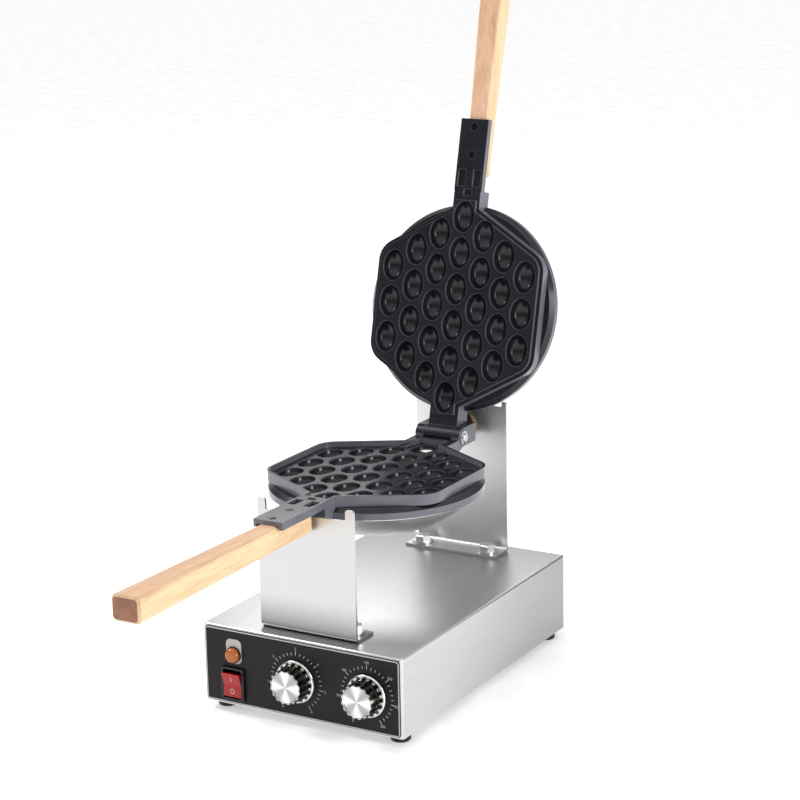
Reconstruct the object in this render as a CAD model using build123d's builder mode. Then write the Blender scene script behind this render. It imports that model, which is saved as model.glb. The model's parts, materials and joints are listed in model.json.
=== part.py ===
"""Bubble waffle maker: a swivelling pair of hexagonal moulds on a steel base.

Millimetres. X runs to the right, Y to the back, Z up. The origin is on the floor,
under the middle of the whole machine. The lid stands open, as in the photograph.
"""

import os
from math import cos, radians, sin

from build123d import *

# Housing and its floor
housing_width = 208.0
housing_depth = 318.0
housing_height = 74.4
housing_sheet = 1.2
housing_corner = 3.0
foot_height = 8.0
housing_front = -82.3
flange_width = 32.0
floor_sheet = 1.2
floor_gap = 0.4
seat = 0.1
slip = 0.3

# Feet
foot_radius = 9.0
foot_inset_x = 12.5
foot_inset_y = 17.0
foot_screw = 4.0
foot_head = 7.5
foot_head_height = 2.6

# Brackets that carry the moulds
bracket_width = 100.0
bracket_sheet = 2.5
bracket_bend = 5.0
bracket_flange = 28.6
front_bracket_y = 14.25
front_bracket_height = 122.1
front_prong = 8.5
front_notch = 10.25
rear_bracket_y = 300.5
rear_bracket_height = 152.1
rear_prong = 5.0
rear_notch = 5.0
bolt_diameter = 8.0
bolt_spacing = 72.0
bolt_flange_radius = 10.0
bolt_head_flats = 14.0
bolt_head_height = 8.0
nut_height = 6.5

# Moulds: distances from the hinge-side to the handle-side run along each mould
pan_y = 137.8
parting_height = 123.6
hex_apothem = 90.0
hex_rim = 2.4
hex_corner = 22.0
hex_height = 10.0
disc_radius = 100.0
disc_thickness = 10.0
disc_chamfer = 4.0
tray_depth = 5.0
lid_step = 2.6
mould_gap = 0.4
step_gap = 1.3
neck_step = 1.0
pit_pitch = 35.0
pit_columns = 23.9
pit_width = 23.0
pit_length = 30.6
pit_lift = 0.3

# Neck, lug and handle
neck_width = 28.6
neck_depth = 18.0
neck_end = 113.0
lug_width = 29.6
lug_end = 182.0
lug_plate = 4.0
lug_wall = 3.0
lug_flange = 7.0
journal_radius = 11.4
journal_length = 8.0
slot_length = 16.0
slot_width = 8.4
slot_depth = 2.4
slot_web = 8.0
pocket_length = 6.0
pocket_width = 9.0
pocket_depth = 3.0
handle_start = 129.0
handle_end = 386.0
handle_width = 20.4
handle_end_width = 28.0
handle_bottom = 26.0
handle_end_top = 3.0
handle_round = 5.0
handle_screw = 4.2
handle_screw_head = 8.0
handle_screw_length = 18.0
handle_screw_first = 147.6
handle_screw_pitch = 26.7

# Hinge between the moulds
hinge_reach = 123.5
pin_radius = 4.0
pin_fit = 0.05
knuckle_radius = 9.0
knuckle_width = 31.0
arm_gap = 0.4
arm_thickness = 8.0
arm_root = 93.0
arm_tail = 70.0
arm_drop = 1.0
crossbar_length = 15.0
lid_lean = 14.4
heel_length = 9.0
heel_height = 6.0
clip_radius = 6.5
clip_thickness = 1.2
clip_groove = 0.8

# Swivel through the rear bracket
trunnion_radius = 7.0
trunnion_bore = 4.5
trunnion_grip = 20.0
trunnion_tail = 14.0
bush_wall = 2.0
bush_flange = 2.5
bush_flange_radius = 16.0
collar_length = 9.0
collar_radius = 15.0

# Heating
heater_radius = 62.0
heater_tube = 6.4
heater_opening = 24.0
insulation_radius = 68.0
insulation_thickness = 8.0
cover_sheet = 1.0
cover_top_radius = 95.0
cover_mid_radius = 79.0
cover_mid_drop = 15.0
cover_bottom_radius = 57.0
cover_drop = 28.0
cover_lip = 2.0
boss_radius = 7.0
cover_screw = 5.0
cover_screw_head = 6.0
cover_screw_height = 3.2

# Control panel
panel_inset = 2.0
panel_width = housing_width - 2 * panel_inset
panel_height = 71.0
panel_bottom = 1.5
panel_thickness = 1.0
panel_corner = 3.0
border_inset = 0.5
border_width = 1.0
border_height = 0.25
knob_height = 35.5
thermostat_edge = 33.0
dial_pitch = 73.5
thermostat_x = panel_width / 2 - thermostat_edge
timer_x = thermostat_x - dial_pitch
skirt_radius = 20.0
skirt_height = 3.5
grip_radius = 17.0
grip_taper = 1.5
knob_depth = 20.0
grip_ribs = 16
rib_radius = 1.8
cap_radius = 14.6
cap_sink = 2.0
knob_gap = 0.4
shaft_radius = 3.0
shaft_fit = 0.05
shaft_grip = 13.0
bush_radius = 4.8
bush_length = 4.0
bush_nut_flats = 13.0
bush_nut_height = 2.0
control_side = 42.0
control_depth = 34.0
mark_thickness = 0.25
dial_radius = 25.5
dial_ticks = 31
dial_sweep = 300.0
tick_length = 4.2
tick_short = 2.4
tick_width = 0.5

# Power switch and lamp
switch_edge = 29.8
switch_x = switch_edge - panel_width / 2
switch_height = 21.0
switch_width = 24.4
switch_length = 31.2
bezel_height = 2.5
switch_body_width = 21.0
switch_body_length = 27.6
switch_body_depth = 24.0
rocker_width = 18.6
rocker_half = 12.2
rocker_rise = 6.5
rocker_dish = 2.5
rocker_back = 2.5
rocker_tilt = 8.0
rocker_axis = 1.5
lamp_edge = 31.2
lamp_x = lamp_edge - panel_width / 2
lamp_height = 49.0
lamp_radius = 7.0
lamp_dome = 5.0
lamp_ring = 8.4
lamp_ring_height = 1.5
lamp_body_radius = 6.0
lamp_body_length = 18.0
tag_width = 16.4
tag_height = 23.0
tag_bottom = 40.6
tag_corner = 5.0

# Mains entry
gland_x = 70.0
gland_z = 30.0
gland_bore = 8.2
gland_thread = 9.0
gland_flats = 22.0
gland_hex = 6.0
gland_cap = 10.0
gland_nut = 5.0
block_length = 60.0
block_width = 20.0
block_height = 16.0
block_ways = 5
vent_length = 40.0
vent_width = 4.0
vent_pitch = 10.0

# Places that follow from the sizes above
housing_bottom = foot_height
housing_top = housing_bottom + housing_height
housing_rear = housing_front + housing_depth
parting_z = housing_top + parting_height
pan_centre = housing_front + pan_y
hinge_y = pan_centre + hinge_reach
front_bracket_face = housing_front + front_bracket_y
rear_bracket_face = housing_front + rear_bracket_y
floor_bottom = housing_bottom + floor_gap
floor_top = floor_bottom + floor_sheet
lean = radians(lid_lean)

lower_mould = Plane((0, pan_centre, parting_z), x_dir=(1, 0, 0), z_dir=(0, 0, 1))
lid_centre = (
    0,
    hinge_y + hinge_reach * sin(lean),
    parting_z + hinge_reach * cos(lean),
)
lid_mould = Plane(lid_centre, x_dir=(-1, 0, 0), z_dir=(0, -cos(lean), sin(lean)))
front_plane = Plane((0, housing_front, 0), x_dir=(1, 0, 0), z_dir=(0, -1, 0))


def save(piece, name):
    """Label a finished piece and write its STEP file."""
    piece.part.label = name
    export_step(piece.part, "parts/" + name + ".step")


def across(y):
    """Upright plane that looks to the front, with local x to the right."""
    return Plane((0, y, 0), x_dir=(1, 0, 0), z_dir=(0, -1, 0))


def side(x):
    """Upright plane across the machine, with local x to the back and y up."""
    return Plane((x, 0, 0), x_dir=(0, 1, 0), z_dir=(1, 0, 0))


os.makedirs("parts", exist_ok=True)


# Housing: a bent steel tub, open below, with folded lips at the front and rear
with BuildPart() as housing:
    with BuildSketch(Plane.XY.offset(housing_bottom)):
        with Locations((0, housing_front + housing_depth / 2)):
            RectangleRounded(housing_width, housing_depth, housing_corner)
    extrude(amount=housing_height)
    fillet(housing.faces().sort_by(Axis.Z)[-1].edges(), housing_corner - 1)
    with BuildSketch(Plane.XY.offset(housing_bottom)):
        with Locations((0, housing_front + housing_depth / 2)):
            Rectangle(housing_width - 2 * housing_sheet, housing_depth - 2 * housing_sheet)
    extrude(amount=housing_height - housing_sheet, mode=Mode.SUBTRACT)
    for lip_y in (
        housing_front + housing_sheet + flange_width / 2,
        housing_rear - housing_sheet - flange_width / 2,
    ):
        with BuildSketch(Plane.XY.offset(floor_top + seat)):
            with Locations((0, lip_y)):
                Rectangle(housing_width - 2 * housing_sheet, flange_width)
        extrude(amount=housing_sheet)

foot_x = housing_width / 2 - foot_inset_x
foot_front = housing_front + foot_inset_y
foot_rear = housing_rear - foot_inset_y
foot_places = [
    (-foot_x, foot_front),
    (foot_x, foot_front),
    (-foot_x, foot_rear),
    (foot_x, foot_rear),
]
bolt_y_front = front_bracket_face + bracket_sheet + (bracket_flange - bracket_sheet) * 0.6
bolt_y_rear = rear_bracket_face - (bracket_flange - bracket_sheet) * 0.6
bolt_places = [
    (-bolt_spacing / 2, bolt_y_front),
    (bolt_spacing / 2, bolt_y_front),
    (-bolt_spacing / 2, bolt_y_rear),
    (bolt_spacing / 2, bolt_y_rear),
]
control_hole = bush_radius + slip

with BuildPart(mode=Mode.PRIVATE) as housing_cuts:
    with BuildSketch(Plane.XY.offset(housing_bottom)):
        with Locations(*foot_places):
            Circle(foot_screw / 2 + seat)
    extrude(amount=nut_height * 2)
    with BuildSketch(Plane.XY.offset(housing_top - 2 * housing_sheet)):
        with Locations(*bolt_places):
            Circle(bolt_diameter / 2 + seat)
    extrude(amount=3 * housing_sheet)
    with BuildSketch(across(housing_front - housing_sheet)):
        with Locations(
            (timer_x, housing_bottom + knob_height),
            (thermostat_x, housing_bottom + knob_height),
        ):
            Circle(control_hole)
        with Locations((switch_x, housing_bottom + switch_height)):
            Rectangle(switch_body_width + 2 * slip, switch_body_length + 2 * slip)
        with Locations((lamp_x, housing_bottom + lamp_height)):
            Circle(lamp_body_radius + slip)
    extrude(amount=-3 * housing_sheet)
    with BuildSketch(across(housing_rear + housing_sheet)):
        with Locations((gland_x, housing_bottom + gland_z)):
            Circle(gland_thread + seat)
        with Locations((-gland_x / 2, housing_bottom + housing_height / 2)):
            with GridLocations(0, vent_pitch, 1, 4):
                SlotOverall(vent_length, vent_width)
    extrude(amount=3 * housing_sheet)

with BuildPart() as steel_housing:
    add(housing.part)
    add(housing_cuts.part, mode=Mode.SUBTRACT)
save(steel_housing, "housing")

# Floor plate: seats under the lips, between the walls, with vent slots
with BuildPart() as floor_plate:
    with BuildSketch(Plane.XY.offset(floor_bottom)):
        with Locations((0, housing_front + housing_depth / 2)):
            Rectangle(
                housing_width - 2 * housing_sheet - 2 * slip,
                housing_depth - 2 * housing_sheet - 2 * slip,
            )
            with GridLocations(vent_length * 1.5, vent_pitch * 2, 3, 7):
                SlotOverall(vent_length, vent_width, mode=Mode.SUBTRACT)
        with Locations(*foot_places):
            Circle(foot_screw / 2 + seat, mode=Mode.SUBTRACT)
    extrude(amount=floor_sheet)
save(floor_plate, "floor_plate")

# Rubber feet with sunk screws that clamp the floor plate to the lips
with BuildPart() as feet:
    for place in foot_places:
        with BuildSketch(Plane.XY):
            with Locations(place):
                Circle(foot_radius)
        extrude(amount=floor_bottom - seat)
    chamfer(feet.edges().filter_by(GeomType.CIRCLE).group_by(Axis.Z)[0], 1.0)
    with BuildSketch(Plane.XY):
        with Locations(*foot_places):
            Circle(foot_head / 2 + slip)
    extrude(amount=foot_head_height + slip, mode=Mode.SUBTRACT)
    with BuildSketch(Plane.XY):
        with Locations(*foot_places):
            Circle(foot_screw / 2 + seat)
    extrude(amount=floor_bottom, mode=Mode.SUBTRACT)
save(feet, "feet")

foot_nut_bottom = floor_top + seat + housing_sheet + seat
with BuildPart() as foot_screws:
    with BuildSketch(Plane.XY.offset(slip)):
        with Locations(*foot_places):
            Circle(foot_head / 2)
    extrude(amount=foot_head_height)
    with BuildSketch(Plane.XY.offset(slip)):
        with Locations(*foot_places):
            Circle(foot_screw / 2)
    extrude(amount=foot_nut_bottom + foot_screw * 0.8)
save(foot_screws, "foot_screws")

with BuildPart() as foot_nuts:
    with BuildSketch(Plane.XY.offset(foot_nut_bottom)):
        with Locations(*foot_places):
            RegularPolygon(foot_screw * 0.9, 6, major_radius=False)
            Circle(foot_screw / 2 + seat / 2, mode=Mode.SUBTRACT)
    extrude(amount=foot_screw * 0.8)
save(foot_nuts, "foot_nuts")


def bracket(face_y, facing, height, prong, notch):
    """Folded steel upright: a tall plate with a notched top, and a foot flange."""
    inner = bracket_bend - bracket_sheet
    foot_z = housing_top + seat
    with BuildPart() as folded:
        with BuildSketch(side(-bracket_width / 2)):
            with BuildLine():
                outer = Polyline(
                    (face_y, housing_top + height),
                    (face_y, foot_z),
                    (face_y + facing * bracket_flange, foot_z),
                    (face_y + facing * bracket_flange, foot_z + bracket_sheet),
                    (face_y + facing * bracket_sheet, foot_z + bracket_sheet),
                    (face_y + facing * bracket_sheet, housing_top + height),
                    close=True,
                )
            make_face()
        extrude(amount=bracket_width)
        bends = folded.edges().filter_by(Axis.X).group_by(Axis.Z)
        low = bends[0].sort_by(Axis.Y)[0 if facing > 0 else -1]
        fillet(low, bracket_bend)
        high = folded.edges().filter_by(Axis.X).filter_by_position(
            Axis.Z, foot_z + bracket_sheet - 0.01, foot_z + bracket_sheet + 0.01
        )
        fillet(high.sort_by(Axis.Y)[0 if facing > 0 else -1], inner)
        with BuildSketch(across(face_y)):
            with Locations((0, housing_top + height)):
                Rectangle(bracket_width - 2 * prong, 2 * notch)
        extrude(amount=bracket_sheet * 2, both=True, mode=Mode.SUBTRACT)
        corners = folded.edges().filter_by(Axis.Y).group_by(Axis.Z)
        fillet(corners[-1], min(prong / 2 - 0.2, 2.0))
    return folded


front_blank = bracket(
    front_bracket_face, 1, front_bracket_height, front_prong, front_notch
)
rear_blank = bracket(
    rear_bracket_face + bracket_sheet, -1, rear_bracket_height, rear_prong, rear_notch
)

bush_outer = trunnion_radius + pin_fit + bush_wall
with BuildPart() as front_bracket:
    add(front_blank.part)
    with BuildSketch(Plane.XY.offset(housing_top)):
        with Locations(*bolt_places[:2]):
            Circle(bolt_diameter / 2 + seat)
    extrude(amount=2 * bracket_sheet, mode=Mode.SUBTRACT)
save(front_bracket, "front_bracket")

with BuildPart() as rear_bracket:
    add(rear_blank.part)
    with BuildSketch(Plane.XY.offset(housing_top)):
        with Locations(*bolt_places[2:]):
            Circle(bolt_diameter / 2 + seat)
    extrude(amount=2 * bracket_sheet, mode=Mode.SUBTRACT)
    with BuildSketch(across(rear_bracket_face - bracket_sheet)):
        with Locations((0, parting_z)):
            Circle(bush_outer + seat)
    extrude(amount=-3 * bracket_sheet, mode=Mode.SUBTRACT)
save(rear_bracket, "rear_bracket")


# Flange bolts and nuts that hold the brackets to the housing
bolt_seat = housing_top + seat + bracket_sheet + seat


def bracket_bolts(places):
    """Hexagon bolts with a round flange, seen from above."""
    with BuildPart() as bolts:
        with BuildSketch(Plane.XY.offset(bolt_seat)):
            with Locations(*places):
                Circle(bolt_flange_radius)
        extrude(amount=bolt_head_height * 0.25)
        with BuildSketch(Plane.XY.offset(bolt_seat)):
            with Locations(*places):
                RegularPolygon(bolt_head_flats / 2, 6, major_radius=False)
        extrude(amount=bolt_head_height)
        chamfer(bolts.faces().filter_by(Axis.Z).group_by(Axis.Z)[-1].edges(), 0.8)
        shank = bracket_sheet + housing_sheet + nut_height + 4 * seat
        with BuildSketch(Plane.XY.offset(bolt_seat)):
            with Locations(*places):
                Circle(bolt_diameter / 2)
        extrude(amount=-shank)
    return bolts


def bracket_nuts(places):
    """Hexagon nuts under the housing top."""
    with BuildPart() as nuts:
        with BuildSketch(Plane.XY.offset(housing_top - housing_sheet - seat)):
            with Locations(*places):
                RegularPolygon(bolt_head_flats / 2, 6, major_radius=False)
                Circle(bolt_diameter / 2 + seat, mode=Mode.SUBTRACT)
        extrude(amount=-nut_height)
    return nuts


save(bracket_bolts(bolt_places[:2]), "front_bracket_bolts")
save(bracket_bolts(bolt_places[2:]), "rear_bracket_bolts")
save(bracket_nuts(bolt_places[:2]), "front_bracket_nuts")
save(bracket_nuts(bolt_places[2:]), "rear_bracket_nuts")

# Control panel on the housing front, with a raised border line
panel_middle = housing_bottom + panel_bottom + panel_height / 2
panel_face = housing_front - seat - panel_thickness
with BuildPart() as control_panel:
    with BuildSketch(across(housing_front - seat)):
        with Locations((0, panel_middle)):
            RectangleRounded(panel_width, panel_height, panel_corner)
        with Locations(
            (timer_x, housing_bottom + knob_height),
            (thermostat_x, housing_bottom + knob_height),
        ):
            Circle(control_hole, mode=Mode.SUBTRACT)
        with Locations((switch_x, housing_bottom + switch_height)):
            Rectangle(
                switch_body_width + 2 * slip,
                switch_body_length + 2 * slip,
                mode=Mode.SUBTRACT,
            )
        with Locations((lamp_x, housing_bottom + lamp_height)):
            Circle(lamp_body_radius + slip, mode=Mode.SUBTRACT)
    extrude(amount=panel_thickness)
save(control_panel, "control_panel")

with BuildPart() as panel_border:
    with BuildSketch(across(panel_face)):
        with Locations((0, panel_middle)):
            RectangleRounded(
                panel_width - 2 * border_inset,
                panel_height - 2 * border_inset,
                panel_corner,
            )
            RectangleRounded(
                panel_width - 2 * (border_inset + border_width),
                panel_height - 2 * (border_inset + border_width),
                panel_corner - border_width,
                mode=Mode.SUBTRACT,
            )
    extrude(amount=border_height)
save(panel_border, "panel_border")


def dial(centre_x, name):
    """Raised dial ticks round a knob: a long one, then four short ones, in turn."""
    start = 90 - dial_sweep / 2
    count = (dial_ticks + 4) // 5
    with BuildPart() as ticks:
        with BuildSketch(across(panel_face)):
            with Locations((centre_x, housing_bottom + knob_height)):
                with PolarLocations(
                    dial_radius, dial_ticks, start, dial_sweep, endpoint=True
                ):
                    Rectangle(tick_short, tick_width)
                with PolarLocations(
                    dial_radius + (tick_length - tick_short) / 2,
                    count,
                    start,
                    dial_sweep,
                    endpoint=True,
                ):
                    Rectangle(tick_length, tick_width)
        extrude(amount=mark_thickness)
    save(ticks, name)


dial(timer_x, "timer_dial")
dial(thermostat_x, "temperature_dial")

# Power switch: bezel and body in one, and a rocker on a cross pin
switch_z = housing_bottom + switch_height
with BuildPart() as switch_body:
    with BuildSketch(across(panel_face - seat)):
        with Locations((switch_x, switch_z)):
            RectangleRounded(switch_width, switch_length, 1.5)
    extrude(amount=bezel_height)
    with BuildSketch(across(panel_face - seat)):
        with Locations((switch_x, switch_z)):
            Rectangle(switch_body_width, switch_body_length)
    extrude(amount=-switch_body_depth)
    with BuildSketch(across(panel_face - seat - bezel_height)):
        with Locations((switch_x, switch_z)):
            Rectangle(rocker_width + 2 * slip, 2 * rocker_half + 3.0)
    extrude(amount=-(bezel_height + rocker_axis + rocker_back + 4), mode=Mode.SUBTRACT)
save(switch_body, "switch_body")

rocker_y = panel_face + rocker_axis
rocker_turn = Rotation(rocker_tilt, 0, 0)
with BuildPart(mode=Mode.PRIVATE) as rocker_blank:
    with BuildSketch(Plane.YZ.offset(-rocker_width / 2)):
        with BuildLine():
            Polyline(
                (-rocker_rise, rocker_half),
                (-rocker_rise + rocker_dish, 0),
                (-rocker_rise, -rocker_half),
                (rocker_back, -rocker_half + 4),
                (rocker_back, rocker_half - 4),
                close=True,
            )
        make_face()
    extrude(amount=rocker_width)
    fillet(rocker_blank.edges().filter_by(Axis.X).group_by(Axis.Y)[0], 0.8)
with BuildPart() as power_rocker:
    add(Pos(switch_x, rocker_y, switch_z) * rocker_turn * rocker_blank.part)
save(power_rocker, "power_rocker")

# Indicator lamp: black body through the panel, chrome ring, orange dome
lamp_z = housing_bottom + lamp_height
with BuildPart() as label_tag:
    with BuildSketch(across(panel_face)):
        with Locations((lamp_x, housing_bottom + tag_bottom + tag_height / 2)):
            RectangleRounded(tag_width, tag_height, tag_corner)
        with Locations((lamp_x, lamp_z)):
            Circle(lamp_body_radius + slip, mode=Mode.SUBTRACT)
    extrude(amount=mark_thickness)
save(label_tag, "label_tag")

lamp_seat = panel_face - mark_thickness - seat
with BuildPart() as lamp_body:
    with BuildSketch(across(lamp_seat)):
        with Locations((lamp_x, lamp_z)):
            Circle(lamp_ring - 0.6)
    extrude(amount=lamp_ring_height)
    with BuildSketch(across(lamp_seat)):
        with Locations((lamp_x, lamp_z)):
            Circle(lamp_body_radius)
    extrude(amount=-lamp_body_length)
save(lamp_body, "lamp_body")

with BuildPart() as lamp_lens:
    with BuildSketch(across(lamp_seat - lamp_ring_height - seat)):
        with Locations((lamp_x, lamp_z)):
            Circle(lamp_radius)
    extrude(amount=lamp_dome)
    fillet(lamp_lens.faces().sort_by(Axis.Y)[0].edges(), lamp_dome - 1.0)
save(lamp_lens, "lamp_lens")


def control(centre_x, depth, name):
    """Timer or thermostat behind the panel, with its threaded bush."""
    centre = (centre_x, housing_bottom + knob_height)
    with BuildPart() as body:
        with BuildSketch(across(housing_front + housing_sheet + seat)):
            with Locations(centre):
                RectangleRounded(control_side, control_side, 4.0)
        extrude(amount=-depth)
        with BuildSketch(across(housing_front + housing_sheet + seat)):
            with Locations(centre):
                Circle(bush_radius)
        bush = housing_sheet + panel_thickness + 3 * seat + bush_nut_height
        extrude(amount=bush)
        with BuildSketch(across(panel_face - seat - bush_nut_height)):
            with Locations(centre):
                Circle(shaft_radius + shaft_fit)
        extrude(amount=-(bush + depth * 0.4), mode=Mode.SUBTRACT)
    save(body, name)


control(timer_x, control_depth, "timer_body")
control(thermostat_x, control_depth * 0.8, "thermostat_body")

with BuildPart() as control_nuts:
    with BuildSketch(across(panel_face - seat)):
        with Locations(
            (timer_x, housing_bottom + knob_height),
            (thermostat_x, housing_bottom + knob_height),
        ):
            RegularPolygon(bush_nut_flats / 2, 6, major_radius=False)
            Circle(bush_radius + seat / 2, mode=Mode.SUBTRACT)
    extrude(amount=bush_nut_height - seat)
save(control_nuts, "control_nuts")


def knob(centre_x, prefix):
    """Shaft, ribbed grip with a skirt, and a spun cap with a dished face."""
    centre = (centre_x, housing_bottom + knob_height)
    skirt_face = panel_face - mark_thickness - knob_gap
    grip_front = housing_front - knob_depth
    grip_length = skirt_face - skirt_height - grip_front
    bore_depth = shaft_grip - skirt_height
    nut_room = bush_nut_flats / 2 / cos(radians(30)) + slip
    with BuildPart() as grip:
        with BuildSketch(across(skirt_face)):
            with Locations(centre):
                Circle(skirt_radius)
        extrude(amount=skirt_height)
        fillet(grip.faces().sort_by(Axis.Y)[0].edges(), skirt_height * 0.6)
        with BuildSketch(across(skirt_face - skirt_height + 0.5)):
            with Locations(centre):
                Circle(grip_radius)
        with BuildSketch(across(grip_front)):
            with Locations(centre):
                Circle(grip_radius - grip_taper)
        loft()
        with BuildSketch(across(skirt_face - skirt_height)):
            with Locations(centre):
                with PolarLocations(grip_radius + rib_radius * 0.4, grip_ribs):
                    Circle(rib_radius)
        extrude(amount=grip_length, mode=Mode.SUBTRACT)
        with BuildSketch(across(grip_front)):
            with Locations(centre):
                Circle(cap_radius + seat)
        extrude(amount=-cap_sink, mode=Mode.SUBTRACT)
        with BuildSketch(across(skirt_face)):
            with Locations(centre):
                Circle(nut_room)
        extrude(amount=bush_nut_height + slip, mode=Mode.SUBTRACT)
        with BuildSketch(across(skirt_face)):
            with Locations(centre):
                Circle(shaft_radius + shaft_fit)
        extrude(amount=bore_depth + shaft_fit, mode=Mode.SUBTRACT)
    save(grip, prefix + "_knob")
    cap_back = grip_front + cap_sink - seat
    with BuildPart() as cap:
        with BuildSketch(across(cap_back)):
            with Locations(centre):
                Circle(cap_radius)
        extrude(amount=cap_sink)
        with BuildSketch(across(cap_back - cap_sink)):
            with Locations(centre):
                Circle(cap_radius - 1.6)
        extrude(amount=-0.6, mode=Mode.SUBTRACT)
        chamfer(cap.faces().sort_by(Axis.Y)[0].edges(), 0.4)
    save(cap, prefix + "_knob_cap")
    with BuildPart() as shaft:
        with BuildSketch(across(skirt_face - bore_depth)):
            with Locations(centre):
                Circle(shaft_radius)
        reach = bore_depth + knob_gap + bush_nut_height + control_depth * 0.3
        extrude(amount=-reach)
    save(shaft, prefix + "_shaft")


knob(timer_x, "timer")
knob(thermostat_x, "temperature")

# Terminal block on the floor plate, and the mains gland at the rear
with BuildPart() as terminal_block:
    block_y = housing_rear - flange_width - block_width
    with BuildSketch(Plane.XY.offset(floor_top + seat)):
        with Locations((gland_x - block_length / 3, block_y)):
            Rectangle(block_length, block_width)
    extrude(amount=block_height)
    with BuildSketch(Plane.XY.offset(floor_top + seat + block_height)):
        with Locations((gland_x - block_length / 3, block_y)):
            with GridLocations(block_length / block_ways, block_width * 0.5, block_ways, 2):
                Circle(block_length / block_ways / 4)
    extrude(amount=-block_height * 0.6, mode=Mode.SUBTRACT)
save(terminal_block, "terminal_block")

gland_centre = (gland_x, housing_bottom + gland_z)
with BuildPart() as mains_gland:
    with BuildSketch(across(housing_rear + seat)):
        with Locations(gland_centre):
            RegularPolygon(gland_flats / 2, 6, major_radius=False)
    extrude(amount=-gland_hex)
    with BuildSketch(across(housing_rear + seat + gland_hex)):
        with Locations(gland_centre):
            Circle(gland_flats / 2 - 1)
    extrude(amount=-gland_cap)
    fillet(mains_gland.faces().sort_by(Axis.Y)[-1].edges(), 3.0)
    with BuildSketch(across(housing_rear + seat)):
        with Locations(gland_centre):
            Circle(gland_thread)
    extrude(amount=housing_sheet + gland_nut + 3)
    with BuildSketch(across(housing_rear + seat + gland_hex + gland_cap)):
        with Locations(gland_centre):
            Circle(gland_bore / 2)
    extrude(amount=gland_hex + gland_cap + housing_sheet + gland_nut + 4, mode=Mode.SUBTRACT)
save(mains_gland, "mains_gland")

with BuildPart() as gland_locknut:
    with BuildSketch(across(housing_rear - housing_sheet - seat)):
        with Locations(gland_centre):
            RegularPolygon(gland_flats / 2, 6, major_radius=False)
            Circle(gland_thread + seat, mode=Mode.SUBTRACT)
    extrude(amount=gland_nut)
save(gland_locknut, "gland_nut")

# Moulds: both halves share these forms, each on its own plane.
# On a mould plane, y runs to the hinge and z to the other half.
disc_bottom = hex_height + disc_thickness
boss_end = disc_bottom + cover_drop - cover_sheet - seat
lid_top = -mould_gap
pit_depth = pit_width / 2
tray_reach = pit_pitch * 2.5 + pit_length / 2 + 1.7
lobe_end = tray_reach + 3.3
arm_inner = knuckle_width / 2 + arm_gap
arm_outer = arm_inner + arm_thickness
crossbar_front = hinge_y + knuckle_radius + 0.5
crossbar_back = crossbar_front + crossbar_length
bush_face = rear_bracket_face - seat - bush_flange
boss_back = bush_face - slip
bush_back = rear_bracket_face + bracket_sheet + 1.0
stop_gap = 0.2


def crosscut(mould, along):
    """Plane across a mould, at a distance towards the handle; local y is mould z."""
    origin = mould.origin - mould.y_dir * along
    return Plane(origin, x_dir=mould.x_dir, z_dir=-mould.y_dir)


def leaning(along, out):
    """Point beside the open lid: distance from the pin along it, and outward."""
    y = hinge_y + along * sin(lean) + out * cos(lean)
    z = parting_z + along * cos(lean) - out * sin(lean)
    return (y, z)


def pit_places():
    """Centres of the thirty pits: seven columns of three to six."""
    places = []
    for column in range(-3, 4):
        count = 6 - abs(column)
        for row in range(count):
            y = (row - (count - 1) / 2) * pit_pitch
            places.append((column * pit_columns, y))
    return places


with BuildPart() as pit_form:
    with BuildSketch(Plane.XY):
        with BuildLine():
            EllipticalCenterArc((0, 0), pit_length / 2, pit_depth, start_angle=0, arc_size=180)
            Line((-pit_length / 2, 0), (pit_length / 2, 0))
        make_face()
    revolve(axis=Axis.X)


def cut_pits(mould, face):
    """Thirty oval pits, cut at a height on a mould into the part being built."""
    with Locations(mould.offset(face + pit_lift)):
        with Locations(*pit_places()):
            add(pit_form.part, rotation=(0, 0, 90), mode=Mode.SUBTRACT)


def hexagon(apothem):
    """Hexagon with a sharp corner at handle and hinge, and four rounded ones."""
    corner = max(hex_corner - (hex_apothem - apothem), 1.0)
    RegularPolygon(apothem, 6, major_radius=False, rotation=30)
    flats = vertices().filter_by(lambda v: abs(v.X) > apothem / 2)
    fillet(flats, corner)


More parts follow.
